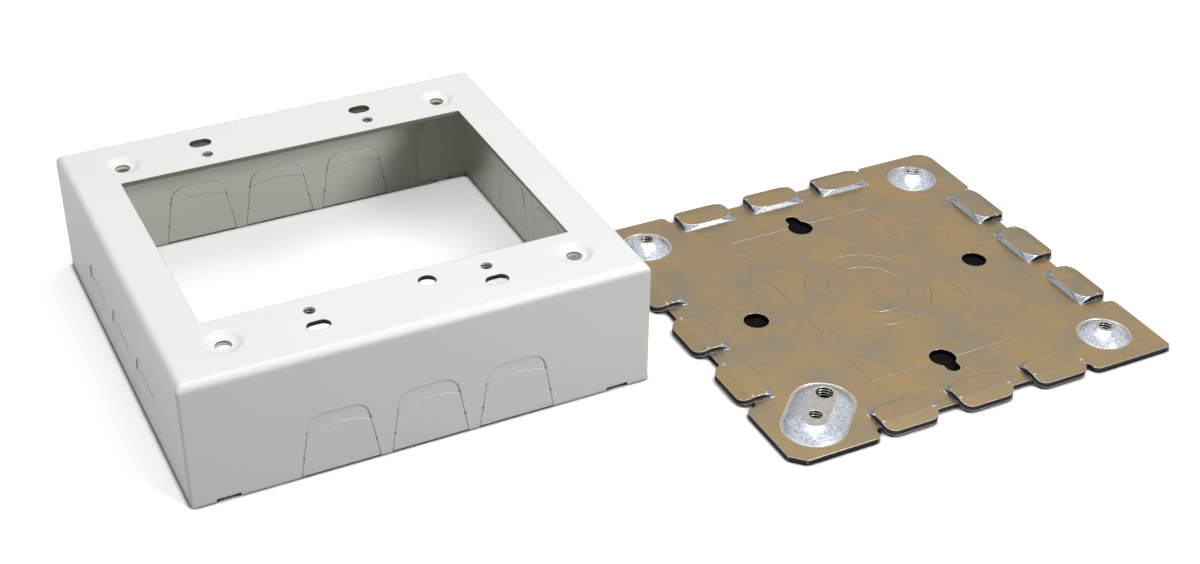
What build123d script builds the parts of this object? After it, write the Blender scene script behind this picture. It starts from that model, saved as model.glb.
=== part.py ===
from build123d import *
import os

os.makedirs("parts", exist_ok=True)

# Driving dimensions in millimetres. The cover's own frame has its origin on the
# floor under the middle of its face, and the base plate's likewise.

# Cover: folded sheet steel, open below, with a face for two wiring devices
cover_length = 120.65
cover_width = 117.5
cover_depth = 35.0
cover_sheet = 1.2
face_bend_radius = 2.2
wall_corner_radius = 0.6
device_opening_length = 96.3
device_opening_width = 71.8

# Holes in the face for the devices and their straps
gang_pitch = 46.0
device_screw_spacing = 83.3
device_screw_hole = 2.9
device_collar_diameter = 4.9
device_collar_drop = 1.2
strap_slot_spacing = 96.8
strap_slot_length = 6.0
strap_slot_width = 4.0
spare_hole = 4.6
spare_hole_x = 7.3
spare_hole_y = -41.5

# The four corner screws run from dimples in the face down to the base plate's bosses
screw_pattern = 90.7
cover_screw_hole = 3.9
dimple_diameter = 10.4
dimple_floor_diameter = 5.6
dimple_depth = 1.1
dimple_margin = 0.4

# Corner seams, the flaps welded behind them and the notches at the foot
seam_width = 0.25
seam_depth = 0.6
seam_stop_below_face = 2.6
seam_relief_diameter = 1.0
flap_length = 17.1
flap_lift = 2.0
flap_chamfer_start = 17.3
flap_root_width = 2.5
flap_gap_below_face = 0.8
foot_notch_length = 6.0
foot_notch_height = 0.8
foot_notch_x = 51.3

# Two-stage twistouts in every wall: a lower piece under an arched one, which is pressed
# in a little. Ties hold the arch at its ends and the lower piece half way up its sides.
twistout_pitch = 23.2
twistout_foot_width = 20.2
twistout_tie_width = 16.2
twistout_tie_height = 12.1
twistout_low_tie_height = 5.2
twistout_arch_height = 13.7
twistout_top_height = 17.15
twistout_top_corner = 4.2
twistout_kerf = 0.1
twistout_floor_gap = 0.2
arch_end_gap = 0.35
arch_recess = 0.25
cut_end_hole = 0.6

# Base plate: sheet steel with lanced tongues, bosses and knockouts
plate_length = 116.6
plate_width = 114.7
plate_sheet = 1.5
plate_corner_radius = 4.5
plate_sharp_corner_radius = 1.5
plate_corner_chamfer = 3.5
plate_notch_length = 66.4
plate_notch_depth = 3.6
plate_notch_radius = 1.7

# Raised tongues that hold the base of the raceway, their tips folded down a little
tongue_pitch = 23.2
tongue_width = 16.0
tongue_length = 9.7
tongue_raise = 1.6
tongue_tip_length = 3.5
tongue_tip_drop = 1.1
tongue_tip_radius = 3.0
tongue_crest_sweep = 5.5
tongue_crest_set_back = 3.6

# Domed bosses, each in a coined ring, and the long one that also takes the ground screw
boss_base_diameter = 13.2
boss_top_diameter = 5.4
long_boss_base_diameter = 15.6
long_boss_top_diameter = 7.0
long_boss_stretch = 10.4
long_boss_set_out = 1.0
boss_height = 2.8
boss_bulge = 0.12
boss_wall = 1.3
boss_ring_width = 0.6
boss_ring_depth = 0.15
boss_screw_hole = 3.4
ground_screw_hole = 4.6
ground_screw_offset = 9.6
thread_collar_wall = 1.0
thread_collar_drop = 1.2

# Knockouts and wall fixings in the base plate
panel_length = 45.4
panel_width = 73.0
ring_diameter = 34.9
disc_diameter = 22.2
plate_kerf = 0.1
keyhole_spacing = 71.2
keyhole_diameter = 7.2
keyhole_slot_width = 4.0
keyhole_reach = 6.6
wall_hole_spacing = 71.4
wall_hole = 7.0

# Where the base plate lies beside the cover, from centre to centre
plate_offset_x = 133.6
plate_offset_y = -49.7

# The origin is the bottom centre of the box round both pieces
origin_x = (plate_offset_x + plate_length / 2 - cover_length / 2) / 2
origin_y = (plate_offset_y - plate_width / 2 + cover_width / 2) / 2
cover_x, cover_y = -origin_x, -origin_y
plate_x, plate_y = plate_offset_x - origin_x, plate_offset_y - origin_y

# How far a cutting solid runs past the sheet that it cuts
overrun = 1.0

ON_FLOOR = (Align.CENTER, Align.CENTER, Align.MIN)
UNDER = (Align.CENTER, Align.CENTER, Align.MAX)
CORNERS = ((1, 1), (-1, 1), (-1, -1), (1, -1))

# Each cover wall by name: its turn about Z from the front wall and its distance out
COVER_WALLS = {
    "front": (0, cover_width / 2),
    "right": (90, cover_length / 2),
    "back": (180, cover_width / 2),
    "left": (270, cover_length / 2),
}

# Each plate edge in the same way
PLATE_EDGES = {
    "front": (0, plate_width / 2),
    "right": (90, plate_length / 2),
    "back": (180, plate_width / 2),
    "left": (270, plate_length / 2),
}


def on_side(side, along, shape):
    """Carry a shape from the local frame of a side, where -Y points out, to its place."""
    turn, distance = side
    return Rot(0, 0, turn) * Pos(along, -distance, 0) * shape


def hole(diameter, depth, x, y, top):
    """Return a cutting cylinder that starts above the given height."""
    cutter = Cylinder(diameter / 2, depth + 2 * overrun, align=UNDER)
    return Pos(x, y, top + overrun) * cutter


# Cover


def folded_shell():
    """Return the face and four walls with their bends."""
    outer = Box(cover_length, cover_width, cover_depth, align=ON_FLOOR)
    outer = fillet(outer.edges().filter_by(Axis.Z), wall_corner_radius)
    outer = fillet(outer.faces().sort_by(Axis.Z)[-1].edges(), face_bend_radius)
    inner_length = cover_length - 2 * cover_sheet
    inner_width = cover_width - 2 * cover_sheet
    inner = Box(inner_length, inner_width, cover_depth - cover_sheet, align=ON_FLOOR)
    inner = fillet(inner.faces().sort_by(Axis.Z)[-1].edges(), face_bend_radius - cover_sheet)
    return outer - inner


def corner_flap():
    """Return the flap of the right wall that is welded behind the front wall."""
    root = cover_length / 2 - cover_sheet
    edge = cover_length / 2 - flap_length
    top = cover_depth - cover_sheet - flap_gap_below_face
    outline = Polyline(
        (root, flap_lift),
        (edge, flap_lift),
        (edge, flap_chamfer_start),
        (root - flap_root_width, top),
        (root, top),
        close=True,
    )
    flap = extrude(Plane.XZ * make_face(outline), -cover_sheet)
    return Pos(0, cover_sheet - cover_width / 2, 0) * flap


def corner_seam():
    """Return the groove where the front wall's end butts against the right wall."""
    height = cover_depth - seam_stop_below_face
    place = (cover_length / 2 - seam_depth, cover_sheet - cover_width / 2)
    groove = Box(
        seam_depth + overrun, seam_width, height + overrun,
        align=(Align.MIN, Align.CENTER, Align.MAX),
    )
    relief = Cylinder(
        seam_relief_diameter / 2, seam_depth + overrun,
        rotation=(0, 90, 0), align=ON_FLOOR,
    )
    return Pos(*place, height) * (groove + relief)


def screw_dimple():
    """Return the pressed ring of sheet round a corner screw's hole, face side up."""
    rim, floor, bore = dimple_diameter / 2, dimple_floor_diameter / 2, cover_screw_hole / 2
    end = rim + dimple_margin
    run = rim - floor
    radius = (run**2 + dimple_depth**2) / (4 * dimple_depth)
    slope_sine = run / 2 / radius
    slope_cosine = 1 - dimple_depth / 2 / radius
    upper = ((rim + floor) / 2, -dimple_depth / 2)
    lower = (upper[0] + cover_sheet * slope_sine, upper[1] - cover_sheet * slope_cosine)
    bottom = -dimple_depth - cover_sheet
    profile = make_face([
        Line((bore, bottom), (bore, -dimple_depth)),
        Line((bore, -dimple_depth), (floor, -dimple_depth)),
        TangentArc((floor, -dimple_depth), upper, tangent=(1, 0)),
        TangentArc((rim, 0), upper, tangent=(-1, 0)),
        Polyline((rim, 0), (end, 0), (end, -cover_sheet), (rim, -cover_sheet)),
        TangentArc((rim, -cover_sheet), lower, tangent=(-1, 0)),
        TangentArc((floor, bottom), lower, tangent=(1, 0)),
        Line((floor, bottom), (bore, bottom)),
    ])
    return revolve(Plane.XZ * profile, Axis.Z)


def twistout_half_width(height):
    """Return half the width between the two side cuts at a height above the foot."""
    lean = (twistout_foot_width - twistout_tie_width) / 2 / twistout_tie_height
    return twistout_tie_width / 2 + lean * (twistout_tie_height - height)


def twistout_outline(grow, foot):
    """Return the outline of both stages in a wall's plane, larger all round by grow."""
    top = twistout_top_height + grow
    low_half = twistout_half_width(foot) + grow
    top_half = twistout_half_width(top) + grow
    corners = Polyline(
        (-low_half, foot), (low_half, foot), (top_half, top), (-top_half, top), close=True
    )
    face = make_face(corners)
    return fillet(face.vertices().group_by(Axis.Y)[-1], twistout_top_corner + grow)


def arch_disc(grow):
    """Return the disc whose rim is the arched cut between the two stages."""
    rise = twistout_arch_height - twistout_tie_height
    half = twistout_tie_width / 2
    radius = (half**2 + rise**2) / (2 * rise)
    return Pos(0, twistout_arch_height - radius) * Circle(radius + grow)


def cut_ends():
    """Return the small discs at the ends of the cuts, just above the ties."""
    discs = []
    for tie in (twistout_tie_height, twistout_low_tie_height):
        height = tie + cut_end_hole / 2
        for side in (-1, 1):
            place = Pos(side * twistout_half_width(height), height)
            discs.append(place * Circle(cut_end_hole / 2))
    return discs


def twistout():
    """Return the lower stage in its wall's local frame."""
    inset = -twistout_kerf / 2
    face = twistout_outline(inset, twistout_floor_gap) & arch_disc(inset)
    for disc in cut_ends():
        face -= disc
    return extrude(Plane.XZ * face, -cover_sheet)


def arch():
    """Return the upper stage, which ends just above its two ties."""
    inset = -twistout_kerf / 2
    foot = twistout_tie_height + arch_end_gap
    face = twistout_outline(inset, foot) - arch_disc(-inset)
    for disc in cut_ends():
        face -= disc
    return Pos(0, arch_recess, 0) * extrude(Plane.XZ * face, -cover_sheet)


def twistout_cutter():
    """Return the solid that opens a wall for both stages."""
    face = twistout_outline(twistout_kerf / 2, -overrun)
    for disc in cut_ends():
        face += disc
    cutter = extrude(Plane.XZ * face, -cover_sheet - 2 * overrun)
    return Pos(0, -overrun, 0) * cutter


def face_features(shell):
    """Cut and press the openings in the face."""
    depth = cover_sheet + dimple_depth
    opening = Box(device_opening_length, device_opening_width, cover_sheet + 2 * overrun, align=UNDER)
    shell -= Pos(0, 0, cover_depth + overrun) * opening
    strap_slot = extrude(SlotOverall(strap_slot_length, strap_slot_width), cover_sheet + 2 * overrun)
    for side_x in (-1, 1):
        for side_y in (-1, 1):
            x = side_x * gang_pitch / 2
            y = side_y * device_screw_spacing / 2
            collar = Cylinder(device_collar_diameter / 2, device_collar_drop, align=UNDER)
            shell += Pos(x, y, cover_depth - cover_sheet) * collar
            shell -= hole(device_screw_hole, cover_sheet + device_collar_drop, x, y, cover_depth)
            y = side_y * strap_slot_spacing / 2
            shell -= Pos(x, y, cover_depth - cover_sheet - overrun) * strap_slot
            x = side_x * screw_pattern / 2
            y = side_y * screw_pattern / 2
            shell -= hole(dimple_diameter + 2 * dimple_margin, depth, x, y, cover_depth)
            shell += Pos(x, y, cover_depth) * screw_dimple()
    shell -= hole(spare_hole, cover_sheet, spare_hole_x, spare_hole_y, cover_depth)
    return shell


def cover():
    """Return the cover in its own frame."""
    shell = face_features(folded_shell())
    cutter = twistout_cutter()
    for wall in COVER_WALLS.values():
        for step in (-1, 0, 1):
            shell -= on_side(wall, step * twistout_pitch, cutter)
    notch = Box(foot_notch_length, cover_sheet + 2 * overrun, 2 * foot_notch_height)
    for side_x in (-1, 1):
        for name in ("front", "back"):
            middle = Pos(0, cover_sheet / 2, 0) * notch
            shell -= on_side(COVER_WALLS[name], side_x * foot_notch_x, middle)
    flap = corner_flap()
    seam = corner_seam()
    for mirror_x in (False, True):
        for mirror_y in (False, True):
            turned_flap, turned_seam = flap, seam
            if mirror_x:
                turned_flap = mirror(turned_flap, Plane.YZ)
                turned_seam = mirror(turned_seam, Plane.YZ)
            if mirror_y:
                turned_flap = mirror(turned_flap, Plane.XZ)
                turned_seam = mirror(turned_seam, Plane.XZ)
            shell = shell + turned_flap - turned_seam
    return shell


# Base plate


def plate_outline():
    """Return the plate's outline with its edges set back where the tongues stand."""
    outline = Rectangle(plate_length, plate_width)
    for turn, distance in PLATE_EDGES.values():
        notch = Rectangle(plate_notch_length, 2 * plate_notch_depth)
        outline -= Rot(0, 0, turn) * Pos(0, -distance) * notch
    reach_x, reach_y = plate_length / 2, plate_width / 2

    def is_corner(vertex):
        return abs(abs(vertex.X) - reach_x) < overrun and abs(abs(vertex.Y) - reach_y) < overrun

    steps = [v for v in outline.vertices() if not is_corner(v)]
    outline = fillet(steps, plate_notch_radius)
    for vertex in outline.vertices():
        if not is_corner(vertex):
            continue
        here = outline.vertices().sort_by_distance(vertex.center())[0]
        if vertex.Y > 0:
            outline = fillet(here, plate_corner_radius)
        elif vertex.X > 0:
            outline = fillet(here, plate_sharp_corner_radius)
        else:
            outline = chamfer(here, plate_corner_chamfer)
    return outline


def tongue_window():
    """Return the cut that frees a tongue's pad from the sheet."""
    length = tongue_length - plate_sheet + overrun
    box = Box(tongue_width, length, plate_sheet + 2 * overrun, align=(Align.CENTER, Align.MIN, Align.MIN))
    return Pos(0, -overrun, -overrun) * box


def crest_cutter():
    """Return the oblique cone that rounds the pad's corner back from its straight root."""
    scale = 1.25
    sweep = tongue_crest_sweep * scale
    set_back = tongue_crest_set_back * scale
    corner_x, corner_y = -tongue_width / 2, tongue_length
    start = (corner_x + sweep, corner_y)
    end = (corner_x, corner_y - set_back)
    crest = EllipticalCenterArc(
        (corner_x + sweep, corner_y - set_back), sweep, set_back, start_angle=90, arc_size=90
    )
    rim = make_face([Line((corner_x, corner_y), start), crest, Line(end, (corner_x, corner_y))])
    rim = Pos(0, 0, plate_sheet + tongue_raise * scale) * rim
    return loft([Vertex(corner_x, corner_y, plate_sheet), rim.face()])


def tongue():
    """Return a lanced tongue in the local frame of a plate edge."""
    top = plate_sheet + tongue_raise
    root = tongue_length - plate_sheet
    section = Polyline(
        (0, tongue_raise - tongue_tip_drop),
        (tongue_tip_length, tongue_raise),
        (root, tongue_raise),
        (root, 0),
        (tongue_length, 0),
        (tongue_length, top),
        (tongue_tip_length, top),
        (0, top - tongue_tip_drop),
        close=True,
    )
    pad = extrude(Plane.YZ * make_face(section), tongue_width / 2, both=True)
    outline = Pos(0, tongue_length / 2) * Rectangle(tongue_width, tongue_length)
    outline = fillet(outline.vertices().group_by(Axis.Y)[0], tongue_tip_radius)
    pad &= extrude(outline, top + overrun)
    cutter = crest_cutter()
    return pad - cutter - mirror(cutter, Plane.YZ)


def boss_form(base_diameter, top_diameter, height, stretch):
    """Return a solid dome, drawn out along X by stretch on both sides of its middle."""
    base, top = base_diameter / 2, top_diameter / 2
    middle = ((base + top) / 2 + boss_bulge, height / 2 + boss_bulge)
    profile = make_face([
        Line((0, 0), (base, 0)),
        ThreePointArc((base, 0), middle, (top, height)),
        Line((top, height), (0, height)),
        Line((0, height), (0, 0)),
    ])
    end = revolve(Plane.XZ * profile, Axis.Z)
    if stretch == 0:
        return end
    across = Plane.YZ * profile
    half = extrude(across, stretch / 2, both=True)
    bar = half + mirror(half, Plane.XZ)
    return Pos(-stretch / 2, 0, 0) * end + Pos(stretch / 2, 0, 0) * end + bar


def press_boss(sheet, x, y, turn, stretch, base_diameter, top_diameter):
    """Press one boss into the sheet, with its hollow below and its ring coined above."""
    ring_diameter_out = base_diameter + 2 * boss_ring_width
    ring = boss_form(ring_diameter_out, ring_diameter_out, boss_ring_depth + overrun, stretch)
    outside = boss_form(base_diameter, top_diameter, boss_height + boss_ring_depth, stretch)
    inner_height = plate_sheet + boss_height - boss_wall
    hollow = boss_form(base_diameter - 2 * boss_wall, top_diameter, inner_height, stretch)
    place = Pos(x, y, 0) * Rot(0, 0, turn)
    level = Pos(0, 0, plate_sheet - boss_ring_depth)
    return sheet - place * level * ring + place * level * outside - place * hollow


def thread_hole(sheet, diameter, x, y):
    """Pierce a boss for a screw and draw a collar down round the thread."""
    top = plate_sheet + boss_height
    collar = Cylinder(diameter / 2 + thread_collar_wall, thread_collar_drop, align=UNDER)
    sheet += Pos(x, y, top - boss_wall) * collar
    return sheet - hole(diameter, top, x, y, top)


def keyhole(side_y):
    """Return the cut of one keyhole, whose slot points away from the middle."""
    cut = Cylinder(keyhole_diameter / 2, plate_sheet + 2 * overrun)
    reach = keyhole_reach - keyhole_slot_width / 2
    cut += Pos(0, reach / 2, 0) * Box(keyhole_slot_width, reach, plate_sheet + 2 * overrun)
    cut += Pos(0, reach, 0) * Cylinder(keyhole_slot_width / 2, plate_sheet + 2 * overrun)
    if side_y < 0:
        cut = mirror(cut, Plane.XZ)
    return Pos(0, side_y * keyhole_spacing / 2, plate_sheet / 2) * cut


def base_plate():
    """Return the base plate in its own frame."""
    sheet = extrude(plate_outline(), plate_sheet)
    window, pad = tongue_window(), tongue()
    for edge in PLATE_EDGES.values():
        for step in (-1, 0, 1):
            sheet -= on_side(edge, step * tongue_pitch, window)
            sheet += on_side(edge, step * tongue_pitch, pad)
    corner = screw_pattern / 2
    for side_x, side_y in CORNERS:
        x, y = side_x * corner, side_y * corner
        if (side_x, side_y) == (-1, -1):
            inward = ground_screw_offset / 2**0.5
            middle = (ground_screw_offset / 2 - long_boss_set_out) / 2**0.5
            sheet = press_boss(
                sheet, x + middle, y + middle, 45, long_boss_stretch,
                long_boss_base_diameter, long_boss_top_diameter,
            )
            sheet = thread_hole(sheet, ground_screw_hole, x + inward, y + inward)
        else:
            sheet = press_boss(sheet, x, y, 0, 0, boss_base_diameter, boss_top_diameter)
        sheet = thread_hole(sheet, boss_screw_hole, x, y)
    window = Box(
        panel_length + 2 * plate_kerf, panel_width + 2 * plate_kerf, plate_sheet + 2 * overrun,
    )
    sheet -= window
    for side in (-1, 1):
        sheet -= keyhole(side)
        sheet -= hole(wall_hole, plate_sheet, side * wall_hole_spacing / 2, 0, plate_sheet)
    return sheet


def knockout_panel():
    """Return the rectangular knockout, open for the round ones and the keyholes."""
    panel = Box(panel_length, panel_width, plate_sheet, align=ON_FLOOR)
    panel -= hole(ring_diameter + 2 * plate_kerf, plate_sheet, 0, 0, plate_sheet)
    for side in (-1, 1):
        panel -= keyhole(side)
    return panel


def knockout_ring():
    """Return the ring between the two round knockout sizes."""
    ring = Cylinder(ring_diameter / 2, plate_sheet, align=ON_FLOOR)
    return ring - hole(disc_diameter + 2 * plate_kerf, plate_sheet, 0, 0, plate_sheet)


def knockout_disc():
    """Return the inner round knockout."""
    return Cylinder(disc_diameter / 2, plate_sheet, align=ON_FLOOR)


def build_nodes():
    """Return every piece by name, in place."""
    cover_place = Pos(cover_x, cover_y, 0)
    plate_place = Pos(plate_x, plate_y, 0)
    nodes = {"cover": cover_place * cover()}
    lower, upper = twistout(), arch()
    for wall, side in COVER_WALLS.items():
        for number, step in enumerate((-1, 0, 1), start=1):
            along = step * twistout_pitch
            nodes[f"{wall}_arch_{number}"] = cover_place * on_side(side, along, upper)
            nodes[f"{wall}_twistout_{number}"] = cover_place * on_side(side, along, lower)
    nodes["base_plate"] = plate_place * base_plate()
    nodes["knockout_panel"] = plate_place * knockout_panel()
    nodes["knockout_ring"] = plate_place * knockout_ring()
    nodes["knockout_disc"] = plate_place * knockout_disc()
    return nodes


for name, piece in build_nodes().items():
    export_step(piece, f"parts/{name}.step")
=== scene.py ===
import math

import bmesh
import bpy
from mathutils import Matrix, Vector


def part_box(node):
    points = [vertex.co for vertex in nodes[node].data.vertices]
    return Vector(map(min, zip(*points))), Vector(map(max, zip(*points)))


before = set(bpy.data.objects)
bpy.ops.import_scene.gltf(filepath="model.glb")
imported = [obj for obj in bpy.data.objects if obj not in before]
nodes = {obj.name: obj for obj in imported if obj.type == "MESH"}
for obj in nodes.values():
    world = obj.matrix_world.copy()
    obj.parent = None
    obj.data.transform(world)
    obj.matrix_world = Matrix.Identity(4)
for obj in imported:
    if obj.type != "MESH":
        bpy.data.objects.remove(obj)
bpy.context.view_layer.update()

# Cover
#
# The real piece is one blank of cold-rolled steel sheet, pierced, folded over on four
# sides and welded at its corner flaps, then washed and stoved in an off-white enamel.

cover_low, cover_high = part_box("cover")
cover_centre = (cover_low + cover_high) / 2
cover_half = (cover_high - cover_low) / 2

# Depths in metres under the outside, each from where a mask begins to where it is full:
# the middle of the sheet, the cut edges in the face, and what lies clear of the walls
mid_sheet = (0.0007, 0.0009)
face_edges = (0.0015, 0.0014)
off_the_walls = (0.0019, 0.0021)

# Half the opening and the place of a tapped hole, from the middle of the face
opening_half = (0.0486, 0.0364)
tapped_hole = (0.023, 0.04165, 0.0)
tapped_hole_radius = 0.0019
thread_pitch = 0.0008
cover_thread_depth = 0.00014
cover_edge_radius = 0.0004

# The film's clouds and its orange peel, in millimetres, and the peel's depth in metres
film_cloud = 28
film_peel = 1.6
peel_depth = 0.00004

# A Mix node's colour sockets: its two inputs and its result
COLOUR_A, COLOUR_B, COLOUR = 6, 7, 2


def linear(code):
    """Turn an sRGB hex value into a linear colour with full alpha."""
    values = [int(code[start:start + 2], 16) / 255 for start in (1, 3, 5)]
    return [v / 12.92 if v <= 0.04045 else ((v + 0.055) / 1.055) ** 2.4 for v in values] + [1.0]


def add_node(tree, kind, inputs=None, **settings):
    """Add one node to a tree, set its properties, and give each input a value or a link."""
    made = tree.nodes.new(kind)
    for name, value in settings.items():
        setattr(made, name, value)
    for name, value in (inputs or {}).items():
        if isinstance(value, bpy.types.NodeSocket):
            tree.links.new(value, made.inputs[name])
        else:
            made.inputs[name].default_value = value
    return made


# Stoved enamel on steel: a satin off-white with a faint orange peel and a slightly
# uneven film. Inside it is tinted a shade duller and more olive: painted shade of the box's
# interior. The pierced edges of the face show grey green steel, and the walls of its small
# holes are painted a near-black grey green: painted shade of the hollow under the face.
enamel = bpy.data.materials.new("stoved_enamel")
enamel.use_nodes = True
tree = enamel.node_tree
tree.nodes.clear()
own = add_node(tree, "ShaderNodeTexCoord")
place = own.outputs["Object"]
film = add_node(
    tree, "ShaderNodeTexNoise", {"Vector": place, "Scale": 1000 / film_cloud, "Detail": 3.0}
)
film_tone = add_node(
    tree, "ShaderNodeMix",
    {0: film.outputs["Fac"], COLOUR_A: linear("#EDF0EC"), COLOUR_B: linear("#F2F5F0")},
    data_type="RGBA",
)

# Where a point lies in the cover: how far it is from the middle and how deep under the
# outside, and from that which faces are the inside
shape = add_node(tree, "ShaderNodeNewGeometry")
facing = add_node(tree, "ShaderNodeSeparateXYZ", {"Vector": own.outputs["Normal"]})
spot = add_node(tree, "ShaderNodeSeparateXYZ", {"Vector": place})
spread = add_node(
    tree, "ShaderNodeVectorMath", {0: place, 1: tuple(cover_centre)}, operation="SUBTRACT"
)
spread = add_node(
    tree, "ShaderNodeVectorMath", {0: spread.outputs["Vector"]}, operation="ABSOLUTE"
)
inset = add_node(
    tree, "ShaderNodeVectorMath", {0: tuple(cover_half), 1: spread.outputs["Vector"]},
    operation="SUBTRACT",
)
inset = add_node(tree, "ShaderNodeSeparateXYZ", {"Vector": inset.outputs["Vector"]})
depth = add_node(
    tree, "ShaderNodeMath", {0: inset.outputs["X"], 1: inset.outputs["Y"]}, operation="MINIMUM"
)
level_spread = add_node(
    tree, "ShaderNodeVectorMath", {0: spread.outputs["Vector"], 1: (1.0, 1.0, 0.0)},
    operation="MULTIPLY",
)
sides = add_node(tree, "ShaderNodeSeparateXYZ", {"Vector": level_spread.outputs["Vector"]})
within = add_node(
    tree, "ShaderNodeMapRange",
    {"Value": depth.outputs["Value"], "From Min": mid_sheet[0], "From Max": mid_sheet[1]},
)
below = add_node(
    tree, "ShaderNodeMapRange",
    {"Value": spot.outputs["Z"], "From Min": cover_high.z - mid_sheet[0],
     "From Max": cover_high.z - mid_sheet[1]},
)
hidden = add_node(
    tree, "ShaderNodeMapRange", {"Value": facing.outputs["Z"], "From Min": 0.6, "From Max": 0.4}
)
inside = add_node(
    tree, "ShaderNodeMath", {0: within.outputs["Result"], 1: below.outputs["Result"]},
    operation="MULTIPLY",
)
inside = add_node(
    tree, "ShaderNodeMath", {0: inside.outputs["Value"], 1: hidden.outputs["Result"]},
    operation="MULTIPLY",
)
# The inside faces are tinted a duller olive: painted shade of the box's interior
coat_and_inner_shade_tone = add_node(
    tree, "ShaderNodeMix",
    {0: inside.outputs["Value"], COLOUR_A: film_tone.outputs[COLOUR],
     COLOUR_B: linear("#EEF0E5")},
    data_type="RGBA",
)

# The enamel runs thin over sharp edges, so the seams show darker. The walls of the holes
# pierced in the face are painted dark all over: painted shade of the hollow under them.
rounded = add_node(tree, "ShaderNodeBevel", {"Radius": cover_edge_radius}, samples=6)
same = add_node(
    tree, "ShaderNodeVectorMath", {0: rounded.outputs["Normal"], 1: shape.outputs["True Normal"]},
    operation="DOT_PRODUCT",
)
thin_film = add_node(
    tree, "ShaderNodeMapRange",
    {"Value": same.outputs["Value"], "From Min": 0.995, "From Max": 0.80, "To Max": 0.5},
)
upright = add_node(
    tree, "ShaderNodeMath", {0: facing.outputs["Z"], 1: 0.0, 2: 0.3}, operation="COMPARE"
)
thin_edge_and_wall = add_node(
    tree, "ShaderNodeMath", {0: thin_film.outputs["Result"], 1: upright.outputs["Value"]},
    operation="MAXIMUM",
)
in_face = add_node(
    tree, "ShaderNodeMapRange",
    {"Value": spot.outputs["Z"], "From Min": cover_high.z - face_edges[0],
     "From Max": cover_high.z - face_edges[1]},
)
off_walls = add_node(
    tree, "ShaderNodeMapRange",
    {"Value": depth.outputs["Value"], "From Min": off_the_walls[0],
     "From Max": off_the_walls[1]},
)
pierced_steel_and_hole_shade = add_node(
    tree, "ShaderNodeMath", {0: in_face.outputs["Result"], 1: off_walls.outputs["Result"]},
    operation="MULTIPLY",
)
pierced_steel_and_hole_shade = add_node(
    tree, "ShaderNodeMath", {0: pierced_steel_and_hole_shade.outputs["Value"], 1: thin_edge_and_wall.outputs["Value"]},
    operation="MULTIPLY",
)
outer_share = add_node(
    tree, "ShaderNodeMapRange", {"Value": within.outputs["Result"], "To Min": 0.45, "To Max": 0.0}
)
seam = add_node(
    tree, "ShaderNodeMath", {0: thin_film.outputs["Result"], 1: outer_share.outputs["Result"]},
    operation="MULTIPLY",
)
thin_paint_and_hole_shade = add_node(
    tree, "ShaderNodeMath", {0: pierced_steel_and_hole_shade.outputs["Value"], 1: seam.outputs["Value"]},
    operation="MAXIMUM",
)
in_length = add_node(
    tree, "ShaderNodeMath", {0: sides.outputs["X"], 1: opening_half[0]}, operation="LESS_THAN"
)
in_width = add_node(
    tree, "ShaderNodeMath", {0: sides.outputs["Y"], 1: opening_half[1]}, operation="LESS_THAN"
)
at_opening = add_node(
    tree, "ShaderNodeMath", {0: in_length.outputs["Value"], 1: in_width.outputs["Value"]},
    operation="MULTIPLY",
)
# Near-black grey green in the holes of the face, which is painted shade; a lighter grey green of
# bare steel at the edge of the opening
bare_steel_and_hole_shade_tone = add_node(
    tree, "ShaderNodeMix",
    {0: at_opening.outputs["Value"], COLOUR_A: linear("#343A2F"),
     COLOUR_B: linear("#7B8573")},
    data_type="RGBA",
)
tone = add_node(
    tree, "ShaderNodeMix",
    {0: thin_paint_and_hole_shade.outputs["Value"], COLOUR_A: coat_and_inner_shade_tone.outputs[COLOUR],
     COLOUR_B: bare_steel_and_hole_shade_tone.outputs[COLOUR]},
    data_type="RGBA",
)

# The thread in the device screws' collars is painted turn by turn: a painted highlight on
# each crest and painted shade in each groove
reach = add_node(
    tree, "ShaderNodeVectorMath", {0: level_spread.outputs["Vector"], 1: tapped_hole},
    operation="DISTANCE",
)
tapped = add_node(
    tree, "ShaderNodeMath", {0: reach.outputs["Value"], 1: tapped_hole_radius},
    operation="LESS_THAN",
)
tapped = add_node(
    tree, "ShaderNodeMath", {0: tapped.outputs["Value"], 1: upright.outputs["Value"]},
    operation="MULTIPLY",
)
turns = add_node(
    tree, "ShaderNodeMath", {0: spot.outputs["Z"], 1: 2 * math.pi / thread_pitch},
    operation="MULTIPLY",
)
turns = add_node(tree, "ShaderNodeMath", {0: turns.outputs["Value"]}, operation="SINE")
thread_crest_glints = add_node(
    tree, "ShaderNodeMapRange", {"Value": turns.outputs["Value"], "From Min": -0.6, "From Max": 0.6}
)
painted_thread_glint_tone = add_node(
    tree, "ShaderNodeMix",
    {0: thread_crest_glints.outputs["Result"], COLOUR_A: linear("#2F332B"), COLOUR_B: linear("#D8DCD6")},
    data_type="RGBA",
)
tone = add_node(
    tree, "ShaderNodeMix",
    {0: tapped.outputs["Value"], COLOUR_A: tone.outputs[COLOUR],
     COLOUR_B: painted_thread_glint_tone.outputs[COLOUR]},
    data_type="RGBA",
)

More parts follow.
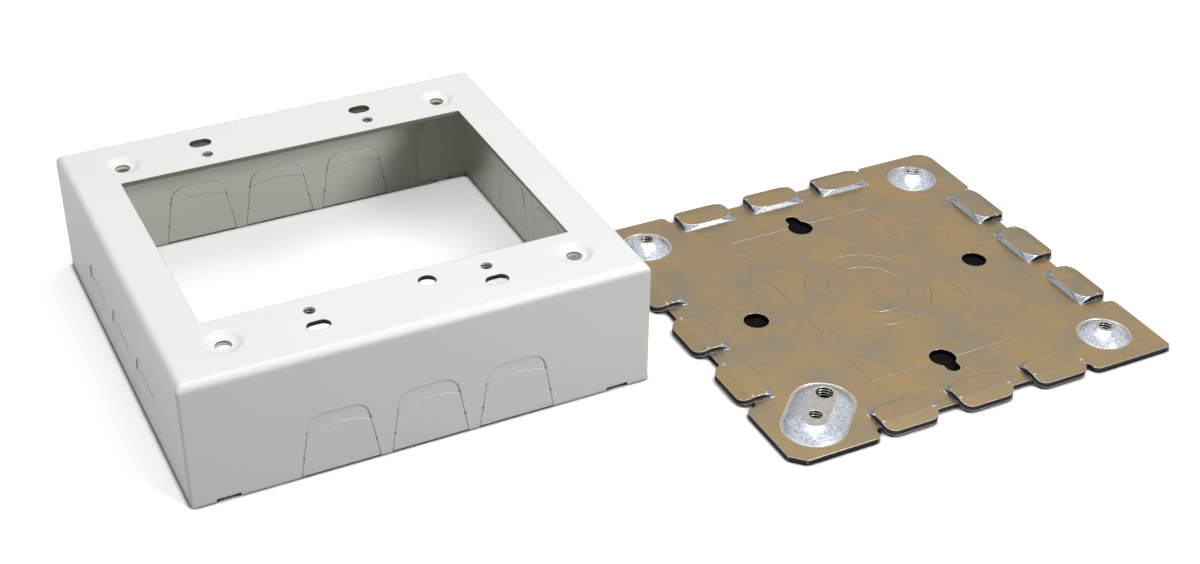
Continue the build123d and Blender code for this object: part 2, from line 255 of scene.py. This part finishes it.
# A satin gloss that follows the film, with the peel and the threads as relief
peel = add_node(
    tree, "ShaderNodeTexNoise", {"Vector": place, "Scale": 1000 / film_peel, "Detail": 2.0}
)
gloss = add_node(
    tree, "ShaderNodeMapRange", {"Value": film.outputs["Fac"], "To Min": 0.34, "To Max": 0.44}
)
skin = add_node(
    tree, "ShaderNodeBump",
    {"Height": peel.outputs["Fac"], "Normal": rounded.outputs["Normal"],
     "Strength": 0.12, "Distance": peel_depth},
)
ridges = add_node(
    tree, "ShaderNodeMath", {0: tapped.outputs["Value"], 1: turns.outputs["Value"]},
    operation="MULTIPLY",
)
skin = add_node(
    tree, "ShaderNodeBump",
    {"Height": ridges.outputs["Value"], "Normal": skin.outputs["Normal"], "Strength": 1.0,
     "Distance": cover_thread_depth},
)
surface = add_node(
    tree, "ShaderNodeBsdfPrincipled",
    {"Base Color": tone.outputs[COLOUR], "Roughness": gloss.outputs["Result"], "IOR": 1.5,
     "Normal": skin.outputs["Normal"]},
)
add_node(tree, "ShaderNodeOutputMaterial", {"Surface": surface.outputs["BSDF"]})

nodes["cover"].data.materials.clear()
nodes["cover"].data.materials.append(enamel)

# Twistouts and arches
#
# Each wall has three openings that stay closed until the installer needs them. The
# pieces are sheared in place before the cover is painted, so they wear its enamel.

for side in ("front", "right", "back", "left"):
    for number in (1, 2, 3):
        for stage in ("arch", "twistout"):
            piece = nodes[f"{side}_{stage}_{number}"]
            piece.data.materials.clear()
            piece.data.materials.append(enamel)

# Base plate
#
# One blank of galvanised steel sheet. Its tongues are lanced and raised along the edges,
# and its bosses are pressed up from below and tapped for the cover's screws.

plate_low, plate_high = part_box("base_plate")
plate_centre = (plate_low + plate_high) / 2
plate_half = (plate_high - plate_low) / 2
tongue_pitch = 0.0232
tongue_half_width = 0.008

# Along an edge, from its middle, the tongues end and the corner with its boss begins
corner_start = 0.0328

# Depths in metres from the plate's outline: the fold of a tongue's tip and its line, the
# slits' middle and half length, the tongue's root and its half width, and the knockouts
tip_length = 0.0048
fold_line, fold_half = 0.0036, 0.0002
slit_middle, slit_half = 0.0066, 0.0030
root_line, root_half = 0.0090, 0.0012
knockout_field = 0.0185

# Across a tongue, from its side: the lip of the slit and the tick at the fold, both given a
# painted highlight
lip_offset, lip_half = 0.00028, 0.00022
tick_offset, tick_half = -0.0005, 0.0005

# Heights in metres over the wall: the sheet's top and what lies over it, the coined ring
# and how far that reaches, the tongues' backs, and the bosses' tops
sheet_top = (0.00156, 0.00152)
over_sheet = 0.0016
coined_height, coined_half = 0.00135, 0.00009
tongue_back = 0.0026
boss_height = (0.0032, 0.0036)

# The shine of the boss tops and the coined rings, the painted highlight on the edges and
# the slits' lips, how far the roots are dulled, and how dark the tips' painted shade is
boss_shine = 0.45
coined_shine = 0.35
edge_highlight_strength = 0.75
lip_highlight_strength = 0.6
root_dulling = 0.6
tip_shade_strength = 0.5

# The zinc's patches, its clouds and its rolling grain, in millimetres. The real grain is
# several times finer and wouldn't show, so it is drawn coarser.
zinc_patch = 2.2
zinc_cloud = 14
rolling_grain = 0.6
grain_depth = 0.00004
boss_thread_depth = 0.00016
sheared_radius = 0.00028
root_radius = 0.0006

# Zinc plate on rolled steel: a warm grey tan, faintly clouded, with a fine rolling grain.
# The boss tops and the coined rings are burnished a bluish silver. The slopes take the same
# silver by their tilt, a painted reflection; the lips of the tongues' slits and every edge get
# a painted highlight, and the sheared faces are dark, bare steel deepened with painted shade.
zinc = bpy.data.materials.new("galvanised_steel")
zinc.use_nodes = True
tree = zinc.node_tree
tree.nodes.clear()
own = add_node(tree, "ShaderNodeTexCoord")
place = own.outputs["Object"]
along = add_node(tree, "ShaderNodeMapping", {"Vector": place, "Scale": (0.6, 1.0, 1.0)})
mottle = add_node(
    tree, "ShaderNodeTexNoise",
    {"Vector": along.outputs["Vector"], "Scale": 1000 / zinc_patch, "Detail": 5.0,
     "Roughness": 0.65},
)
cloud = add_node(
    tree, "ShaderNodeTexNoise", {"Vector": place, "Scale": 1000 / zinc_cloud, "Detail": 3.0}
)
grain = add_node(
    tree, "ShaderNodeTexNoise",
    {"Vector": along.outputs["Vector"], "Scale": 1000 / rolling_grain, "Detail": 3.0},
)
patches = add_node(
    tree, "ShaderNodeMath", {0: mottle.outputs["Fac"], 1: cloud.outputs["Fac"]}, operation="ADD"
)
patch_amount = add_node(
    tree, "ShaderNodeMapRange",
    {"Value": patches.outputs["Value"], "From Min": 0.74, "From Max": 1.26},
)
flat_tone = add_node(
    tree, "ShaderNodeMix",
    {0: patch_amount.outputs["Result"], COLOUR_A: linear("#A0865B"),
     COLOUR_B: linear("#887E6B")},
    data_type="RGBA",
)

# Where a point lies on the plate: its height, how far in from the edge, and how far along
# from the middle of the nearest tongue
spot = add_node(tree, "ShaderNodeSeparateXYZ", {"Vector": place})
spread = add_node(
    tree, "ShaderNodeVectorMath", {0: place, 1: tuple(plate_centre)}, operation="SUBTRACT"
)
spread = add_node(
    tree, "ShaderNodeVectorMath", {0: spread.outputs["Vector"]}, operation="ABSOLUTE"
)
sides = add_node(tree, "ShaderNodeSeparateXYZ", {"Vector": spread.outputs["Vector"]})
side = add_node(
    tree, "ShaderNodeMath", {0: sides.outputs["X"], 1: sides.outputs["Y"]}, operation="MINIMUM"
)
across = add_node(
    tree, "ShaderNodeMath", {0: side.outputs["Value"], 1: tongue_pitch / 2}, operation="PINGPONG"
)
inset = add_node(
    tree, "ShaderNodeVectorMath", {0: tuple(plate_half), 1: spread.outputs["Vector"]},
    operation="SUBTRACT",
)
inset = add_node(tree, "ShaderNodeSeparateXYZ", {"Vector": inset.outputs["Vector"]})
depth = add_node(
    tree, "ShaderNodeMath", {0: inset.outputs["X"], 1: inset.outputs["Y"]}, operation="MINIMUM"
)
corner = add_node(
    tree, "ShaderNodeMath", {0: side.outputs["Value"], 1: corner_start},
    operation="GREATER_THAN",
)
along_edge = add_node(
    tree, "ShaderNodeMath", {0: side.outputs["Value"], 1: corner_start}, operation="LESS_THAN"
)

# The silver places: slopes except the tongues' tips, coloured by their tilt as a painted
# reflection; boss tops and coined rings, which are burnished; and the lips of the slits and
# the ticks at the ends of the folds, which are painted highlights
shape = add_node(tree, "ShaderNodeNewGeometry")
facing = add_node(tree, "ShaderNodeSeparateXYZ", {"Vector": own.outputs["Normal"]})
level = add_node(tree, "ShaderNodeMath", {0: facing.outputs["Z"]}, operation="ABSOLUTE")
sloped = add_node(
    tree, "ShaderNodeMapRange",
    {"Value": level.outputs["Value"], "From Min": 0.995, "From Max": 0.93},
)
behind_tip = add_node(
    tree, "ShaderNodeMath", {0: depth.outputs["Value"], 1: tip_length},
    operation="GREATER_THAN",
)
formed = add_node(
    tree, "ShaderNodeMath", {0: corner.outputs["Value"], 1: behind_tip.outputs["Value"]},
    operation="MAXIMUM",
)
burnish_and_painted_sheen = add_node(
    tree, "ShaderNodeMath", {0: sloped.outputs["Result"], 1: formed.outputs["Value"]},
    operation="MULTIPLY",
)
boss_top = add_node(
    tree, "ShaderNodeMapRange",
    {"Value": spot.outputs["Z"], "From Min": boss_height[0], "From Max": boss_height[1],
     "To Max": boss_shine},
)
burnish_and_painted_sheen = add_node(
    tree, "ShaderNodeMath", {0: burnish_and_painted_sheen.outputs["Value"], 1: boss_top.outputs["Result"]},
    operation="MAXIMUM",
)
coined = add_node(
    tree, "ShaderNodeMath", {0: spot.outputs["Z"], 1: coined_height, 2: coined_half},
    operation="COMPARE",
)
coined = add_node(
    tree, "ShaderNodeMath", {0: coined.outputs["Value"], 1: coined_shine}, operation="MULTIPLY"
)
burnish_and_painted_sheen = add_node(
    tree, "ShaderNodeMath", {0: burnish_and_painted_sheen.outputs["Value"], 1: coined.outputs["Value"]},
    operation="MAXIMUM",
)
slit = add_node(
    tree, "ShaderNodeMath",
    {0: across.outputs["Value"], 1: tongue_half_width + lip_offset, 2: lip_half},
    operation="COMPARE",
)
slit_reach = add_node(
    tree, "ShaderNodeMath", {0: depth.outputs["Value"], 1: slit_middle, 2: slit_half},
    operation="COMPARE",
)
lip = add_node(
    tree, "ShaderNodeMath", {0: slit.outputs["Value"], 1: slit_reach.outputs["Value"]},
    operation="MULTIPLY",
)
lip = add_node(
    tree, "ShaderNodeMath", {0: lip.outputs["Value"], 1: along_edge.outputs["Value"]},
    operation="MULTIPLY",
)
burnish_and_painted_sheen = add_node(
    tree, "ShaderNodeMath", {0: burnish_and_painted_sheen.outputs["Value"], 1: lip.outputs["Value"]},
    operation="MAXIMUM",
)
tick = add_node(
    tree, "ShaderNodeMath",
    {0: across.outputs["Value"], 1: tongue_half_width + tick_offset, 2: tick_half},
    operation="COMPARE",
)
fold = add_node(
    tree, "ShaderNodeMath", {0: depth.outputs["Value"], 1: fold_line, 2: fold_half},
    operation="COMPARE",
)
raised = add_node(
    tree, "ShaderNodeMath", {0: spot.outputs["Z"], 1: tongue_back}, operation="GREATER_THAN"
)
tick = add_node(
    tree, "ShaderNodeMath", {0: tick.outputs["Value"], 1: fold.outputs["Value"]},
    operation="MULTIPLY",
)
tick = add_node(
    tree, "ShaderNodeMath", {0: tick.outputs["Value"], 1: raised.outputs["Value"]},
    operation="MULTIPLY",
)
tick = add_node(
    tree, "ShaderNodeMath", {0: tick.outputs["Value"], 1: along_edge.outputs["Value"]},
    operation="MULTIPLY",
)
lip = add_node(
    tree, "ShaderNodeMath", {0: lip.outputs["Value"], 1: tick.outputs["Value"]},
    operation="MAXIMUM",
)
scuffs = add_node(
    tree, "ShaderNodeMapRange",
    {"Value": grain.outputs["Fac"], "From Min": 0.3, "From Max": 0.7},
)
silver = add_node(
    tree, "ShaderNodeMix",
    {0: scuffs.outputs["Result"], COLOUR_A: linear("#A6ADB8"), COLOUR_B: linear("#DDE3EA")},
    data_type="RGBA",
)
at_root = add_node(
    tree, "ShaderNodeMath", {0: depth.outputs["Value"], 1: root_line, 2: root_half},
    operation="COMPARE",
)
at_root = add_node(
    tree, "ShaderNodeMath", {0: at_root.outputs["Value"], 1: along_edge.outputs["Value"]},
    operation="MULTIPLY",
)
dulled = add_node(
    tree, "ShaderNodeMath", {0: at_root.outputs["Value"], 1: root_dulling},
    operation="MULTIPLY",
)
silver = add_node(
    tree, "ShaderNodeMix",
    {0: dulled.outputs["Value"], COLOUR_A: silver.outputs[COLOUR],
     COLOUR_B: linear("#79828C")},
    data_type="RGBA",
)
form_tone = add_node(
    tree, "ShaderNodeMix",
    {0: burnish_and_painted_sheen.outputs["Value"], COLOUR_A: flat_tone.outputs[COLOUR],
     COLOUR_B: silver.outputs[COLOUR]},
    data_type="RGBA",
)

# A sheared face is upright and dark: bare steel, darkened further with painted shade. The
# root of a tongue is upright too, but faces the middle and isn't sheared, so it is left out.
# The thread cut in a boss is painted turn by turn, with a painted highlight on each crest.
inward = add_node(
    tree, "ShaderNodeVectorMath", {0: tuple(plate_centre), 1: place}, operation="SUBTRACT"
)
inward = add_node(
    tree, "ShaderNodeVectorMath", {0: inward.outputs["Vector"]}, operation="NORMALIZE"
)
to_middle = add_node(
    tree, "ShaderNodeVectorMath", {0: inward.outputs["Vector"], 1: own.outputs["Normal"]},
    operation="DOT_PRODUCT",
)
outer = add_node(
    tree, "ShaderNodeMapRange",
    {"Value": to_middle.outputs["Value"], "From Min": 0.65, "From Max": 0.55},
)
low = add_node(
    tree, "ShaderNodeMapRange",
    {"Value": spot.outputs["Z"], "From Min": sheet_top[0], "From Max": sheet_top[1]},
)
not_root = add_node(
    tree, "ShaderNodeMath", {0: outer.outputs["Result"], 1: low.outputs["Result"]},
    operation="MAXIMUM",
)
upright = add_node(
    tree, "ShaderNodeMapRange",
    {"Value": level.outputs["Value"], "From Min": 0.10, "From Max": 0.02},
)
cut = add_node(
    tree, "ShaderNodeMath", {0: upright.outputs["Result"], 1: not_root.outputs["Value"]},
    operation="MULTIPLY",
)
turns = add_node(
    tree, "ShaderNodeMath", {0: spot.outputs["Z"], 1: 2 * math.pi / thread_pitch},
    operation="MULTIPLY",
)
turns = add_node(tree, "ShaderNodeMath", {0: turns.outputs["Value"]}, operation="SINE")
tapped = add_node(
    tree, "ShaderNodeMath", {0: spot.outputs["Z"], 1: over_sheet}, operation="GREATER_THAN"
)
tapped = add_node(
    tree, "ShaderNodeMath", {0: tapped.outputs["Value"], 1: corner.outputs["Value"]},
    operation="MULTIPLY",
)
thread_crest_glints = add_node(
    tree, "ShaderNodeMath", {0: tapped.outputs["Value"], 1: turns.outputs["Value"]},
    operation="MULTIPLY",
)
cut_shade_and_thread_glint = add_node(
    tree, "ShaderNodeMix",
    {0: thread_crest_glints.outputs["Value"], COLOUR_A: linear("#2B2927"), COLOUR_B: linear("#E4E8EA")},
    data_type="RGBA",
)
# The tongues' tips are sloped and are painted a darker tan: painted shade, so that they don't read
# lighter than the flat sheet
tip_face = add_node(
    tree, "ShaderNodeMath", {0: 1.0, 1: formed.outputs["Value"]}, operation="SUBTRACT"
)
tip_face = add_node(
    tree, "ShaderNodeMath", {0: tip_face.outputs["Value"], 1: sloped.outputs["Result"]},
    operation="MULTIPLY",
)
tip_painted_shade = add_node(
    tree, "ShaderNodeMath", {0: tip_face.outputs["Value"], 1: tip_shade_strength},
    operation="MULTIPLY",
)
form_tone = add_node(
    tree, "ShaderNodeMix",
    {0: tip_painted_shade.outputs["Value"], COLOUR_A: form_tone.outputs[COLOUR],
     COLOUR_B: linear("#83714F")},
    data_type="RGBA",
)
cut_tone = add_node(
    tree, "ShaderNodeMix",
    {0: cut.outputs["Value"], COLOUR_A: form_tone.outputs[COLOUR],
     COLOUR_B: cut_shade_and_thread_glint.outputs[COLOUR]},
    data_type="RGBA",
)

# Every edge gets a painted highlight of bright silver. The knockouts are pressed back level,
# so the painted highlight on their hairlines shows only here and there.
sharp = add_node(tree, "ShaderNodeBevel", {"Radius": sheared_radius}, samples=6)
same = add_node(
    tree, "ShaderNodeVectorMath", {0: sharp.outputs["Normal"], 1: shape.outputs["True Normal"]},
    operation="DOT_PRODUCT",
)
painted_edge_highlight = add_node(
    tree, "ShaderNodeMapRange",
    {"Value": same.outputs["Value"], "From Min": 0.985, "From Max": 0.85,
     "To Max": edge_highlight_strength},
)
in_field = add_node(
    tree, "ShaderNodeMath", {0: depth.outputs["Value"], 1: knockout_field},
    operation="GREATER_THAN",
)
hairline_gaps = add_node(
    tree, "ShaderNodeMapRange",
    {"Value": cloud.outputs["Fac"], "From Min": 0.40, "From Max": 0.60, "To Min": 0.7,
     "To Max": 0.1},
)
edge_highlight_gaps = add_node(
    tree, "ShaderNodeMath", {0: in_field.outputs["Value"], 1: hairline_gaps.outputs["Result"]},
    operation="MULTIPLY",
)
edge_highlight_gaps = add_node(
    tree, "ShaderNodeMath", {0: edge_highlight_gaps.outputs["Value"], 1: dulled.outputs["Value"]},
    operation="MAXIMUM",
)
edge_highlight_kept = add_node(
    tree, "ShaderNodeMath", {0: 1.0, 1: edge_highlight_gaps.outputs["Value"]}, operation="SUBTRACT"
)
painted_edge_highlight = add_node(
    tree, "ShaderNodeMath", {0: painted_edge_highlight.outputs["Result"], 1: edge_highlight_kept.outputs["Value"]},
    operation="MULTIPLY",
)
painted_lip_highlight = add_node(
    tree, "ShaderNodeMath", {0: lip.outputs["Value"], 1: lip_highlight_strength}, operation="MULTIPLY"
)
painted_edge_highlight = add_node(
    tree, "ShaderNodeMath", {0: painted_edge_highlight.outputs["Value"], 1: painted_lip_highlight.outputs["Value"]},
    operation="MAXIMUM",
)
tone = add_node(
    tree, "ShaderNodeMix",
    {0: painted_edge_highlight.outputs["Value"], COLOUR_A: cut_tone.outputs[COLOUR],
     COLOUR_B: linear("#E4E8EA")},
    data_type="RGBA",
)

# The die rounds a tongue's root and the fold of its tip far more than a sheared edge, so
# both lean up to the light
radius = add_node(
    tree, "ShaderNodeMapRange",
    {"Value": at_root.outputs["Value"], "To Min": sheared_radius, "To Max": root_radius},
)
rounded = add_node(tree, "ShaderNodeBevel", {"Radius": radius.outputs["Result"]}, samples=6)
root_face = add_node(
    tree, "ShaderNodeMath", {0: upright.outputs["Result"], 1: cut.outputs["Value"]},
    operation="SUBTRACT",
)
soft_fold = add_node(
    tree, "ShaderNodeMath", {0: tip_face.outputs["Value"], 1: 2.5}, operation="MULTIPLY"
)
soft_fold = add_node(
    tree, "ShaderNodeMath", {0: soft_fold.outputs["Value"], 1: root_face.outputs["Value"]},
    operation="ADD",
)
lift = add_node(
    tree, "ShaderNodeVectorMath", {0: (0.0, 0.0, 0.7), "Scale": soft_fold.outputs["Value"]},
    operation="SCALE",
)
leaning = add_node(
    tree, "ShaderNodeVectorMath", {0: rounded.outputs["Normal"], 1: lift.outputs["Vector"]},
    operation="ADD",
)
leaning = add_node(
    tree, "ShaderNodeVectorMath", {0: leaning.outputs["Vector"]}, operation="NORMALIZE"
)

# The burnished places are glossier than the rolled sheet, and take more of its grain
gloss = add_node(
    tree, "ShaderNodeMapRange", {"Value": burnish_and_painted_sheen.outputs["Value"], "To Min": 0.42, "To Max": 0.24}
)
relief = add_node(
    tree, "ShaderNodeMapRange", {"Value": burnish_and_painted_sheen.outputs["Value"], "To Min": 0.3, "To Max": 0.35}
)
skin = add_node(
    tree, "ShaderNodeBump",
    {"Height": grain.outputs["Fac"], "Normal": leaning.outputs["Vector"],
     "Strength": relief.outputs["Result"], "Distance": grain_depth},
)
ridges = add_node(
    tree, "ShaderNodeMath", {0: thread_crest_glints.outputs["Value"], 1: upright.outputs["Result"]},
    operation="MULTIPLY",
)
skin = add_node(
    tree, "ShaderNodeBump",
    {"Height": ridges.outputs["Value"], "Normal": skin.outputs["Normal"], "Strength": 1.0,
     "Distance": boss_thread_depth},
)
surface = add_node(
    tree, "ShaderNodeBsdfPrincipled",
    {"Base Color": tone.outputs[COLOUR], "Metallic": 0.85, "Roughness": gloss.outputs["Result"],
     "Normal": skin.outputs["Normal"]},
)
add_node(tree, "ShaderNodeOutputMaterial", {"Surface": surface.outputs["BSDF"]})

nodes["base_plate"].data.materials.clear()
nodes["base_plate"].data.materials.append(zinc)

# Knockouts
#
# The panel, the ring and the disc are half sheared out of the base plate and pressed
# back level with it, so only a hairline shows where each would break out.

for name in ("knockout_panel", "knockout_ring", "knockout_disc"):
    nodes[name].data.materials.clear()
    nodes[name].data.materials.append(zinc)

# Studio
#
# A white table without an edge, a large soft box overhead and smaller ones at the front
# right and the left. The room is white to the camera, and in reflections it is white
# above, greyer at the horizon and dim behind the camera.

table_half = 4.0
contact_reach = 0.002
floor_mesh = bpy.data.meshes.new("floor")
table_top = bmesh.new()
bmesh.ops.create_grid(table_top, x_segments=1, y_segments=1, size=table_half)
table_top.to_mesh(floor_mesh)
table_top.free()
floor = bpy.data.objects.new("floor", floor_mesh)
bpy.context.scene.collection.objects.link(floor)

# White laminate: it glows to the camera and in reflections, more so far out, and light
# that it sends back to the object is grey. A thin dark line of painted contact shadow runs
# where a piece touches it.
table = bpy.data.materials.new("white_table")
table.use_nodes = True
tree = table.node_tree
tree.nodes.clear()
ray = add_node(tree, "ShaderNodeLightPath")
near = add_node(tree, "ShaderNodeAmbientOcclusion", {"Distance": contact_reach}, samples=8)
painted_contact_shadow = add_node(
    tree, "ShaderNodeMapRange", {"Value": near.outputs["AO"], "From Min": 0.5, "From Max": 0.85}
)
paint = add_node(tree, "ShaderNodeBsdfDiffuse", {"Color": linear("#F2F2F2")})
on_table = add_node(tree, "ShaderNodeTexCoord")
reach = add_node(
    tree, "ShaderNodeVectorMath", {0: on_table.outputs["Object"]}, operation="LENGTH"
)
fade = add_node(
    tree, "ShaderNodeMapRange",
    {"Value": reach.outputs["Value"], "From Min": 0.3, "From Max": 1.2, "To Min": 0.45,
     "To Max": 0.95},
)
glow = add_node(
    tree, "ShaderNodeEmission", {"Color": linear("#FFFFFF"), "Strength": fade.outputs["Result"]}
)
lit = add_node(tree, "ShaderNodeAddShader", {0: paint.outputs[0], 1: glow.outputs[0]})
shade = add_node(tree, "ShaderNodeBsdfDiffuse", {"Color": linear("#141713")})
seen = add_node(
    tree, "ShaderNodeMixShader",
    {0: painted_contact_shadow.outputs["Result"], 1: shade.outputs[0], 2: lit.outputs[0]},
)
grey = add_node(tree, "ShaderNodeBsdfDiffuse", {"Color": linear("#404040")})
bare = add_node(
    tree, "ShaderNodeMath", {0: ray.outputs["Is Camera Ray"], 1: ray.outputs["Is Glossy Ray"]},
    operation="MAXIMUM",
)
mixed = add_node(
    tree, "ShaderNodeMixShader",
    {0: bare.outputs["Value"], 1: grey.outputs[0], 2: seen.outputs[0]},
)
add_node(tree, "ShaderNodeOutputMaterial", {"Surface": mixed.outputs[0]})
floor_mesh.materials.append(table)

# A black sheet lies under the base plate, just inside its outline: painted shade, so that its
# holes look deep
shade_sheet_inset = 0.0045
shade_sheet_height = 0.0001
shade_sheet_mesh = bpy.data.meshes.new("painted_shade_sheet")
sheet = bmesh.new()
bmesh.ops.create_grid(sheet, x_segments=1, y_segments=1, size=1.0)
bmesh.ops.scale(
    sheet, vec=(plate_half.x - shade_sheet_inset, plate_half.y - shade_sheet_inset, 1.0), verts=sheet.verts
)
bmesh.ops.translate(sheet, vec=(plate_centre.x, plate_centre.y, shade_sheet_height), verts=sheet.verts)
sheet.to_mesh(shade_sheet_mesh)
sheet.free()
painted_shade_sheet = bpy.data.objects.new("painted_shade_sheet", shade_sheet_mesh)
bpy.context.scene.collection.objects.link(painted_shade_sheet)
shade_sheet_material = bpy.data.materials.new("black_shade_sheet")
shade_sheet_material.use_nodes = True
tree = shade_sheet_material.node_tree
tree.nodes.clear()
shade_sheet_surface = add_node(tree, "ShaderNodeBsdfDiffuse", {"Color": linear("#1A1A1A")})
add_node(tree, "ShaderNodeOutputMaterial", {"Surface": shade_sheet_surface.outputs[0]})
shade_sheet_mesh.materials.append(shade_sheet_material)

# The room: the camera sees it white, the enamel and the zinc reflect it dimmer at the
# horizon and dimmest behind the camera, and little of its light reaches the object
behind_camera = (-0.45, -0.89, 0.0)
world = bpy.data.worlds.new("room")
bpy.context.scene.world = world
world.use_nodes = True
tree = world.node_tree
tree.nodes.clear()
ray = add_node(tree, "ShaderNodeLightPath")
toward = add_node(tree, "ShaderNodeTexCoord")
height = add_node(tree, "ShaderNodeSeparateXYZ", {"Vector": toward.outputs["Object"]})
diffuse_level = add_node(
    tree, "ShaderNodeMapRange", {"Value": height.outputs["Z"], "To Min": 0.10, "To Max": 0.27}
)
glossy_level = add_node(
    tree, "ShaderNodeMapRange",
    {"Value": height.outputs["Z"], "From Max": 0.35, "To Min": 0.45, "To Max": 1.0},
)
soft = add_node(
    tree, "ShaderNodeBackground",
    {"Color": linear("#FFFFFF"), "Strength": diffuse_level.outputs["Result"]},
)
front_side = add_node(
    tree, "ShaderNodeVectorMath", {0: toward.outputs["Object"], 1: behind_camera},
    operation="DOT_PRODUCT",
)
dim_side = add_node(
    tree, "ShaderNodeMapRange",
    {"Value": front_side.outputs["Value"], "From Min": 0.55, "From Max": 0.85, "To Min": 1.0,
     "To Max": 0.4},
)
glossy_level = add_node(
    tree, "ShaderNodeMath", {0: glossy_level.outputs["Result"], 1: dim_side.outputs["Result"]},
    operation="MULTIPLY",
)
mirrored = add_node(
    tree, "ShaderNodeBackground",
    {"Color": linear("#FFFFFF"), "Strength": glossy_level.outputs["Value"]},
)
clear = add_node(tree, "ShaderNodeBackground", {"Color": linear("#FFFFFF"), "Strength": 1.0})
mixed = add_node(
    tree, "ShaderNodeMixShader",
    {0: ray.outputs["Is Glossy Ray"], 1: soft.outputs[0], 2: mirrored.outputs[0]},
)
mixed = add_node(
    tree, "ShaderNodeMixShader",
    {0: ray.outputs["Is Camera Ray"], 1: mixed.outputs[0], 2: clear.outputs[0]},
)
add_node(tree, "ShaderNodeOutputWorld", {"Surface": mixed.outputs[0]})


def hang_lamp(name, position, target, size, power):
    """Hang a square soft box at a place in metres and turn it to its target."""
    light = bpy.data.lights.new(name, "AREA")
    light.shape = "SQUARE"
    light.size = size
    light.energy = power
    lamp = bpy.data.objects.new(name, light)
    bpy.context.scene.collection.objects.link(lamp)
    lamp.location = position
    lamp.rotation_euler = (Vector(target) - Vector(position)).to_track_quat("-Z", "Y").to_euler()


hang_lamp("overhead_box", (0.16, 0.05, 0.95), (0, 0, 0), 0.8, 5.0)
hang_lamp("front_box", (0.22, -0.52, 0.37), (-0.06, 0, 0.02), 0.2, 2.1)
hang_lamp("left_box", (-0.80, -0.05, 0.45), (-0.08, 0, 0.02), 0.26, 1.55)

# Camera, solved from the photograph in metres, with a degree of roll
camera_data = bpy.data.cameras.new("camera")
camera_data.sensor_width = 36
camera_data.lens = 56.82
camera = bpy.data.objects.new("camera", camera_data)
bpy.context.scene.collection.objects.link(camera)
forward = Vector((0.37866, 0.74408, -0.55042)).normalized()
upward = Vector((0.23488, 0.49798, 0.83478)).normalized()
sideways = forward.cross(upward)
camera.matrix_world = (
    Matrix.Translation((-0.19609, -0.38088, 0.29011))
    @ Matrix((sideways, upward, -forward)).transposed().to_4x4()
)
bpy.context.scene.camera = camera
bpy.context.scene.view_settings.view_transform = "Standard"
